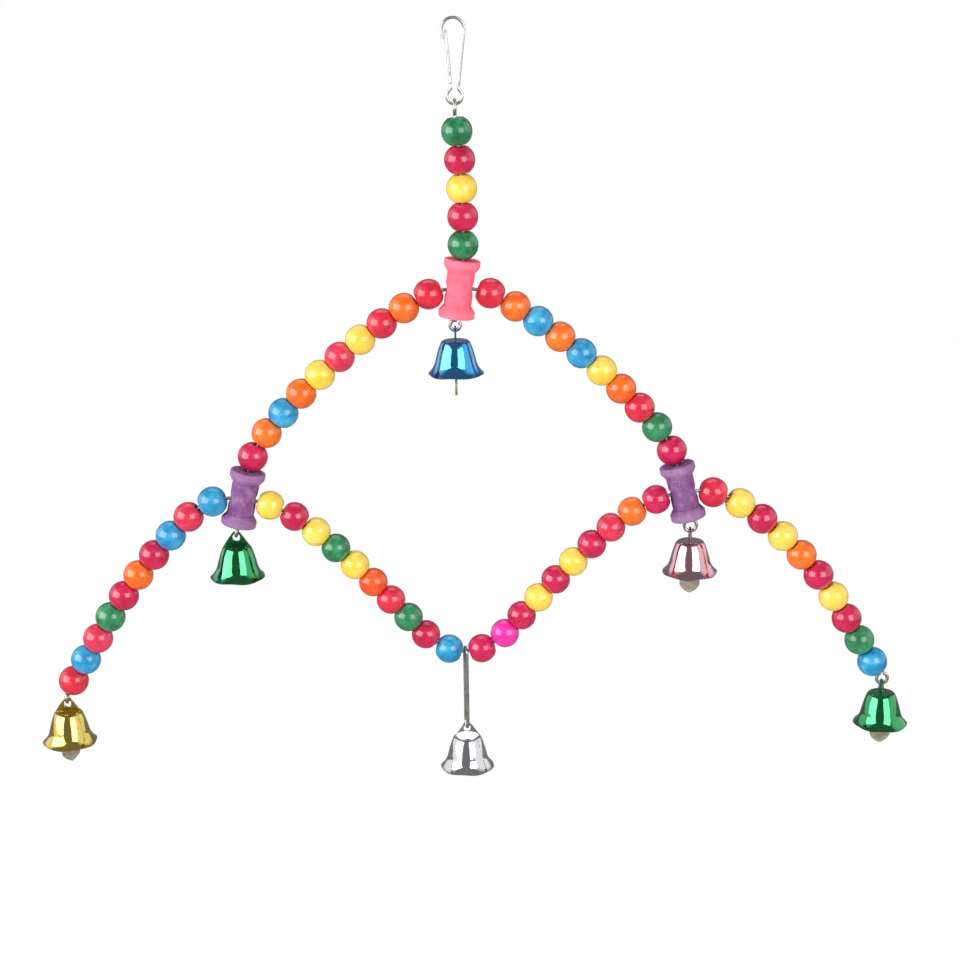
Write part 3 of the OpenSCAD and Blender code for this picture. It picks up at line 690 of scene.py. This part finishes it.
def rod(d, length):
    """Shape of a plain rod along Z."""
    n = CUTTER_SIDES
    verts = [(x, y, z) for z in (-length / 2, length / 2) for x, y in circle(0, d / 2, n)]
    faces = [(k, (k + 1) % n, (k + 1) % n + n, k + n) for k in range(n)]
    return verts, faces + [tuple(range(n))[::-1], tuple(range(n, 2 * n))]


def block(width, depth, height):
    """Shape of a plain block round its middle."""
    verts = [(x * width / 2, y * depth / 2, z * height / 2)
             for x in (-1, 1) for y in (-1, 1) for z in (-1, 1)]
    return verts, [(0, 1, 3, 2), (4, 6, 7, 5), (0, 4, 5, 1), (2, 3, 7, 6), (0, 2, 6, 4),
                   (1, 5, 7, 3)]


def torus(r, d, matrix):
    """Shape of a closed ring of wire round Z, moved by the matrix."""
    n, m = RING_SIDES, RING_WIRE_SIDES
    verts, faces = [], []
    for k in range(n):
        for j in range(m):
            out = r + d / 2 * cos(360 * j / m)
            p = (out * cos(360 * k / n), out * sin(360 * k / n), d / 2 * sin(360 * j / m))
            verts.append(tuple(matrix @ Vector(p)))
            a, b, j2 = k * m, (k + 1) % n * m, (j + 1) % m
            faces.append((a + j, b + j, b + j2, a + j2))
    return verts, faces


def finished_mesh(ob):
    """A new mesh of a curve, or of an object with its modifiers applied."""
    bpy.context.view_layer.update()
    evaluated = ob.evaluated_get(bpy.context.evaluated_depsgraph_get())
    return bpy.data.meshes.new_from_object(evaluated)


def flat_sheet(outline, holes, thick, bevel):
    """Shape of a punched sheet with soft edges, drawn on XY and turned upright."""
    curve = bpy.data.curves.new("sheet", "CURVE")
    curve.dimensions, curve.fill_mode = "2D", "BOTH"
    curve.extrude, curve.bevel_depth, curve.offset = thick / 2 - bevel, bevel, -bevel
    curve.bevel_resolution = BEVEL_STEPS
    for loop in [outline] + holes:
        s = curve.splines.new("POLY")
        s.points.add(len(loop) - 1)
        for q, (x, y) in zip(s.points, loop):
            q.co = (x, y, 0, 1)
        s.use_cyclic_u = True
    ob = bpy.data.objects.new("sheet", curve)
    scene.collection.objects.link(ob)
    mesh = finished_mesh(ob)
    verts = [tuple(turn(90, "X") @ v.co) for v in mesh.vertices]
    faces = [tuple(f.vertices) for f in mesh.polygons]
    bpy.data.objects.remove(ob)
    bpy.data.curves.remove(curve)
    bpy.data.meshes.remove(mesh)
    return verts, faces


def piece(name, parts, mats, body, node, slot, crease):
    """Makes one object that rides on the body and replaces the node.

    Each part is (vertices, faces, matrix, material number, tint). The tint is one number from
    0 to 1, or a list with one for each vertex.
    """
    verts, faces, numbers, grain, tint = [], [], [], [], []
    for part_verts, part_faces, matrix, number, shade in parts:
        shift = Vector([random.uniform(-GRAIN_SHIFT, GRAIN_SHIFT) for _ in range(3)])
        start = len(verts)
        for p in part_verts:
            verts.append(tuple((matrix @ Vector(p)) * MM))
            grain.extend(Vector(p) + shift)
        tint += shade if isinstance(shade, list) else [shade] * len(part_verts)
        faces += [tuple(start + i for i in face) for face in part_faces]
        numbers += [number] * len(part_faces)
    mesh = bpy.data.meshes.new(name)
    mesh.from_pydata(verts, [], faces)
    mesh.attributes.new("grain", "FLOAT_VECTOR", "POINT").data.foreach_set("vector", grain)
    mesh.attributes.new("tint", "FLOAT", "POINT").data.foreach_set("value", tint)
    for mat in mats:
        mesh.materials.append(mat)
    mesh.polygons.foreach_set("material_index", numbers)
    mesh.validate()
    mesh.update()
    ob = bpy.data.objects.new(name, mesh)
    scene.collection.objects.link(ob)
    mesh.shade_smooth()
    mesh.set_sharp_from_angle(angle=math.radians(crease))
    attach(ob, body)
    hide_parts(node)
    return ob


def cut(ob, shape, matrix):
    """Cuts a shape, moved by the matrix, out of ob for good."""
    mesh = bpy.data.meshes.new("cutter")
    mesh.from_pydata([tuple((matrix @ Vector(v)) * MM) for v in shape[0]], [], shape[1])
    cutter = bpy.data.objects.new("cutter", mesh)
    scene.collection.objects.link(cutter)
    modifier = ob.modifiers.new("cut", "BOOLEAN")
    modifier.operation, modifier.solver, modifier.object = "DIFFERENCE", "EXACT", cutter
    made = finished_mesh(ob)
    ob.modifiers.clear()
    old, ob.data = ob.data, made
    made.name = old.name
    bpy.data.meshes.remove(old)
    bpy.data.objects.remove(cutter)
    bpy.data.meshes.remove(mesh)
    made.set_sharp_from_angle(angle=math.radians(CREASE))


def ball_shape(d):
    """Shape of a ball with a bore along Z and flat ends."""
    h, bore = d * BALL_LENGTH_SHARE / 2, BALL_BORE_D / 2
    top = math.degrees(math.asin(h / (d / 2)))
    angles = [top * k / BALL_STEPS for k in range(-BALL_STEPS, BALL_STEPS + 1)]
    points = [(bore, -h)] + [(d / 2 * cos(a), d / 2 * sin(a)) for a in angles] + [(bore, h)]
    edges = [BORE_EDGE_R, FLAT_EDGE_R]
    radii = edges + [0] * (len(angles) - 2) + edges[::-1]
    return lathe(rounded(points, radii, CORNER_STEPS), BALL_SIDES)


BALL_SHAPES = {d: ball_shape(d) for d in (BALL_D, INNER_BALL_D, OUTER_BALL_D)}
random.seed(SEED)


def ball(p, y, d, number):
    """One ball as a part of a piece, turned about its bore and paled by chance."""
    spin = Matrix.Rotation(random.uniform(0, 2 * math.pi), 4, "Z")
    return (*BALL_SHAPES[d], along_wire(p, y) @ spin, number, random.uniform(0.0, MOST_TINT))


def single_ball(name, p, y, colour):
    """A ball of the stem or the arch, on a body of its own."""
    piece(name + "_lacquered", [ball(p, y, BALL_D, 0)], [ball_mats[colour]], name, name,
          "ball_" + SHADE_OF.get(colour, colour), BALL_CREASE)


for i, colour in enumerate(STEM):
    single_ball(f"stem_ball_{i + 1}", at(stem_start, stem_run, stem_row[i]), 0, colour)
for side, colours, word in ((-1, ARCH_LEFT, "left"), (1, ARCH_RIGHT, "right")):
    for i, colour in enumerate(colours):
        place = sided(at(arch_start, arch_run, arch_row[i]), side)
        single_ball(f"arch_ball_{word}_{i + 1}", place, CROSS_PITCH, colour)

# The lower wire's balls, in one piece for each colour
groups = {}
for start, run, row, side, d, colours in (
        (outer_start, left_run, left_row, -1, OUTER_BALL_D, OUTER_LEFT),
        (outer_start, right_run, right_row, 1, OUTER_BALL_D, OUTER_RIGHT),
        (inner_start, inner_run, inner_row[::-1], -1, INNER_BALL_D, INNER_LEFT),
        (inner_start, inner_run, inner_row[::-1], 1, INNER_BALL_D, INNER_RIGHT)):
    for s, colour in zip(row, colours):
        group = SHADE_OF.get(colour, colour)
        groups.setdefault(group, []).append((sided(at(start, run, s), side), d, colour))
for group, rows in groups.items():
    shades = [group] + [shade for shade, like in SHADE_OF.items() if like == group]
    parts = [ball(p, 0, d, shades.index(colour)) for p, d, colour in rows]
    free = group == "hot_pink"
    node = "lower_ball_hot_pink" if free else "lower_balls_" + group
    piece(node + "_lacquered", parts, [ball_mats[s] for s in shades],
          "hot_pink_ball" if free else "lower", node, "ball_" + group, BALL_CREASE)


def spool_profile(waist, rim, half, foot, bore):
    """Closed profile of a spool, with long edges split so that wear can bend them."""
    upper = [(bore, half), (rim, half), (rim, half - FLANGE_RIM_H), (waist + WAIST_STEP, foot),
             (waist - WAIST_STEP, foot - WAIST_STEP), (waist, foot - 3 * WAIST_STEP)]
    points = upper + [(r, -z) for r, z in upper[::-1]]
    profile = rounded(points, SPOOL_EDGE_RS + SPOOL_EDGE_RS[::-1], SPOOL_CORNER_STEPS)
    fine = []
    for i, (r, z) in enumerate(profile):
        r2, z2 = profile[(i + 1) % len(profile)]
        n = int(math.hypot(r2 - r, z2 - z) / SPOOL_STEP) + 1
        fine += [(r + (r2 - r) * k / n, z + (z2 - z) * k / n) for k in range(n)]
    return fine


def spool(name, body, p, cross, colour):
    """A spool along the arch or the stem, with a cross hole at the heading cross."""
    waist, rim, half, bore = WAIST_D / 2, FLANGE_D / 2, SPOOL_L / 2, SPOOL_BORE_D / 2
    foot = half - FLANGE_RIM_H - FLARE_H
    verts, faces = lathe(spool_profile(waist, rim, half, foot, bore)[::-1], SPOOL_SIDES)
    # Hand-turned and worn: the rims are a little out of round and paler
    worn, tints = [], []
    for x, y, z in verts:
        r = math.hypot(x, y)
        tints.append(min(1, max(0, (r - waist) / (rim - waist))) if abs(z) > foot else 0)
        if r > bore + BORE_EDGE_W:
            wave = math.sin(WORN_WAVES * math.atan2(y, x) + 2 * z / half)
            k = 1 - WORN_SHARE * (1 + wave) * (abs(z) / half) ** 2
            x, y = x * k, y * k
        worn.append((x, y, z))
    part = (worn, faces, along_wire(p, CROSS_PITCH / 2), 0, tints)
    ob = piece(name + "_turned", [part], [spool_mats[colour]], body, name, colour + "_wood",
               CREASE)
    cut(ob, rod(CROSS_HOLE_D, FLANGE_D * CUTTER_SHARE),
        along_wire((p[0], p[1], cross), CROSS_PITCH / 2))


spool("pink_spool", "stem", pink_c, 0, "pink")
spool("purple_spool_left", "arch", sided(purple_c, -1), -LOWER_SLOPE, "purple")
spool("purple_spool_right", "arch", sided(purple_c, 1), LOWER_SLOPE, "purple")


def shell_profile():
    """Open profile of a bell's shell, from its top's middle over the mouth to inside."""
    run = [(BELL_H * s, b) for s, b in BELL_BENDS]
    total = sum(b[0] for b in run)
    outside = [at((CROWN_R, 0, 0), run, total * k / SHELL_STEPS) for k in range(SHELL_STEPS + 1)]
    inside = [along((x, z, a - 90), BELL_WALL) for x, z, a in outside]
    end = outside[-1]
    mid = ((end[0] + inside[-1][0]) / 2, (end[1] + inside[-1][1]) / 2)
    lip = []
    for k in range(1, LIP_STEPS):
        a = end[2] + 90 - 180 * k / LIP_STEPS
        lip.append((mid[0] + BELL_WALL / 2 * cos(a) * LIP_SHARE,
                    mid[1] + BELL_WALL / 2 * sin(a)))
    crown = [CROWN_R * k / CROWN_STEPS for k in range(1, CROWN_STEPS)]
    return ([(r, 0) for r in crown] + [p[:2] for p in outside] + lip + inside[::-1]
            + [(r, -BELL_WALL) for r in crown[::-1]])


def waves(rows, a, seed):
    """Sum of some waves at the angle a round a bell."""
    return sum(strength * math.sin(n * a + shift * seed) for n, strength, shift in rows)


def dented(verts, seed):
    """Thin pressed sheet: each bell is a little out of round, most at its mouth."""
    out = []
    for x, y, z in verts:
        low, a = (-z / BELL_H) ** DENT_POWER, math.atan2(y, x)
        k = 1 - DENT_SHARE * low * (IN_MIDDLE + waves(IN_WAVES, a, seed))
        out.append((x * k, y * k, z + DENT_H * low * (UP_MIDDLE + waves(UP_WAVES, a, seed))))
    return out


strap_hole_z = WIRE_D / 2 + LOOP_PLAY - STRAP_HOLE_D / 2
strap_top_r = STRAP_HOLE_D / 2 + STRAP_RIM
tongue_r = TONGUE_HOLE_D / 2 + TONGUE_RIM
tongue_z = -HANG_H - BELL_WALL - TONGUE_DROP
clapper_z = tongue_z - TONGUE_HOLE_D / 2 + CLAPPER_WIRE_D / 2 + SLOT_GAP


def strap_shape():
    """Shape of a strap: a plate that widens from its round top, and a tongue below it."""
    leg = Vector((STRAP_W / 2, -HANG_H - strap_hole_z))
    a = math.degrees(math.atan2(leg.y, leg.x) + math.acos(strap_top_r / leg.length))
    outline = circle(strap_hole_z, strap_top_r, STRAP_STEPS, a, 180 - 2 * a)
    outline += [(-STRAP_W / 2, -HANG_H), (-tongue_r, -HANG_H)]
    outline += circle(tongue_z, tongue_r, TONGUE_STEPS, 180, 180)
    outline += [(tongue_r, -HANG_H), (STRAP_W / 2, -HANG_H)]
    holes = [circle(strap_hole_z, STRAP_HOLE_D / 2, HOLE_STEPS),
             circle(tongue_z, TONGUE_HOLE_D / 2, HOLE_STEPS)]
    return flat_sheet(outline, holes, STRAP_T, STRAP_BEVEL)


def leaf_shape(length):
    """Shape of a flat clapper: a leaf that narrows to a stalk."""
    low = [(LEAF_W / 2 * sin(90 * (k / LEAF_STEPS) ** LEAF_POWER),
            LEAF_LOW_H * k / LEAF_STEPS - length) for k in range(LEAF_STEPS + 1)]
    high = [(STALK_W / 2 + (LEAF_W - STALK_W) / 2 * (1 + cos(180 * k / LEAF_STEPS)) / 2,
             LEAF_LOW_H + LEAF_HIGH_H * k / LEAF_STEPS - length)
            for k in range(1, LEAF_STEPS + 1)]
    right = low + high + [(STALK_W / 2, -2 * CLAPPER_RING_R)]
    return flat_sheet(right + [(-x, y) for x, y in right[:0:-1]], [], CLAPPER_T, LEAF_BEVEL)


SHELL = capped_lathe(shell_profile(), SHELL_SIDES)
STRAP = strap_shape()
LEAVES = {length: leaf_shape(length) for length in (LONG_CLAPPER_L, SHORT_CLAPPER_L)}
RING = torus(CLAPPER_RING_R, CLAPPER_WIRE_D,
             Matrix.Translation((0, 0, -CLAPPER_RING_R)) @ turn(90, "Y"))
SLOT = block(2 * (tongue_r + SLOT_GAP), STRAP_T + 2 * SLOT_GAP, 4 * BELL_WALL)


def bell(name, slot, place, strap_turn, leaf_turn, length):
    """The shell, strap and clapper of a bell that hangs at the place."""
    body = name + "_bell"
    hung = Matrix.Translation(place) @ turn(strap_turn, "Z")
    down = hung @ Matrix.Translation((0, 0, -HANG_H))
    verts = dented(SHELL[0], len(name) + place[0])
    shell = piece(body + "_shell_plated", [(verts, SHELL[1], down, 0, 0)], [bell_mats[slot]],
                  body, body + "_shell", slot, SHELL_CREASE)
    cut(shell, SLOT, down)
    piece(body + "_strap_pressed", [(*STRAP, hung, 0, 0)], [bell_mats[slot]], body,
          body + "_strap", slot, CREASE)
    pivot = hung @ Matrix.Translation((0, 0, clapper_z))
    leaf = (*LEAVES[length], pivot @ turn(leaf_turn - strap_turn, "Z"), 0, 0)
    piece(body + "_clapper_pressed", [leaf, (*RING, pivot, 0, 0)], [clapper_mat],
          body + "_clapper", body + "_clapper", "clapper_steel", CREASE)


for row in BELLS:
    bell(*row)

# The wires keep the shape that the CAD gives them
for name, mat in (("snap_hook", hook_mat), ("snap_gate", hook_mat), ("stem_wire", wire_mat),
                  ("arch_wire", wire_mat), ("lower_wire", wire_mat), ("bell_link", wire_mat)):
    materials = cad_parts[name].data.materials
    materials.clear()
    materials.append(mat)

# Floor, in metres. It glows for the camera and in reflections: the share of the glow in what is
# seen of the floor, and the strength of the glow in reflections.
FLOOR_Z = -0.52
FLOOR_HALF = 4
FLOOR_GREY = grey(0.86)
FLOOR_ROUGH = 0.9
FLOOR_GLOW_SHARE = 0.985
FLOOR_REFLECTED = 0.22

# Strength of the world on matte surfaces, and of the room that metal reflects. The room is dim
# in front and behind and bright at the sides, and changes between these two values of X.
WORLD_LIGHT = 0.52
ROOM_DIM = 0.2
ROOM_BRIGHT = 1.0
DIM_TO_X = 0.62
BRIGHT_FROM_X = 0.8

# Point that the lamps face, in metres
CENTRE = Vector((0.0, 0.0, -0.14))

# Camera: place in metres, angles in degrees, lens and sensor in mm
CAMERA_PLACE = (0.0066, -0.643, 0.0208)
CAMERA_DOWN = 15.2
CAMERA_ROLL = -0.87
LENS = 72.96
SENSOR = 36


def floor_material():
    """White to the camera, dim in reflections, and pale grey to the light."""
    m = Surface("pale_floor")
    m.fill(m.shader, {"Base Color": FLOOR_GREY, "Roughness": FLOOR_ROUGH})
    ray = m.new("LightPath").outputs
    strength = m.spread(ray["Is Camera Ray"], FLOOR_REFLECTED, 1.0)
    glow = m.new("Emission", {"Color": WHITE, "Strength": strength})
    seen = m.calculate("MAXIMUM", ray["Is Camera Ray"], ray["Is Glossy Ray"])
    share = m.calculate("MULTIPLY", seen, FLOOR_GLOW_SHARE)
    both = m.new("MixShader", {0: share, 1: m.shader.outputs[0], 2: glow.outputs[0]})
    m.fill(m.tree.nodes["Material Output"], {"Surface": both.outputs[0]})
    return m.mat


def make_floor():
    s, z = FLOOR_HALF, FLOOR_Z
    mesh = bpy.data.meshes.new("floor")
    mesh.from_pydata([(-s, -s, z), (s, -s, z), (s, s, z), (-s, s, z)], [], [(0, 1, 2, 3)])
    mesh.materials.append(floor_material())
    floor = bpy.data.objects.new("floor", mesh)
    scene.collection.objects.link(floor)


def make_world():
    """White to the camera, even light on matte surfaces, and a room for metal to reflect."""
    scene.world = bpy.data.worlds.new("studio")
    scene.world.use_nodes = True
    n = Nodes(scene.world.node_tree)
    way = n.new("TexCoord").outputs["Generated"]
    across = n.calculate("ABSOLUTE", n.new("SeparateXYZ", {0: way}).outputs["X"])
    room = n.spread(across, ROOM_DIM, ROOM_BRIGHT, DIM_TO_X, BRIGHT_FROM_X)
    ray = n.new("LightPath").outputs
    strength = n.mix_numbers(ray["Is Glossy Ray"], WORLD_LIGHT, room)
    strength = n.calculate("MAXIMUM", ray["Is Camera Ray"], strength)
    strength = n.calculate("MAXIMUM", ray["Is Transmission Ray"], strength)
    n.fill(n.tree.nodes["Background"], {"Color": WHITE, "Strength": strength})


def softbox(name, azimuth, elevation, distance, width, height, power):
    """A lamp that faces the middle of the object, in degrees, metres and watts."""
    lamp = bpy.data.lights.new(name, "AREA")
    lamp.shape, lamp.size, lamp.size_y, lamp.energy = "RECTANGLE", width, height, power
    ob = bpy.data.objects.new(name, lamp)
    scene.collection.objects.link(ob)
    way = Vector((sin(azimuth) * cos(elevation), -cos(azimuth) * cos(elevation), sin(elevation)))
    ob.location = CENTRE + way * distance
    ob.rotation_euler = way.to_track_quat("Z", "Y").to_euler()


def make_camera():
    camera = bpy.data.cameras.new("camera")
    camera.lens, camera.sensor_width = LENS, SENSOR
    ob = bpy.data.objects.new("camera", camera)
    scene.collection.objects.link(ob)
    ob.matrix_world = (Matrix.Translation(CAMERA_PLACE) @ turn(90 - CAMERA_DOWN, "X")
                       @ turn(CAMERA_ROLL, "Z"))
    scene.camera = ob


make_floor()
make_world()
softbox("softbox_left", -60, 15, distance=0.95, width=1.0, height=0.62, power=7.7)
softbox("softbox_right", 34, 15, distance=0.95, width=0.62, height=0.58, power=4.4)
softbox("softbox_top", 180, 62, distance=1.1, width=0.9, height=0.6, power=1.8)
make_camera()
scene.view_settings.view_transform = "Standard"
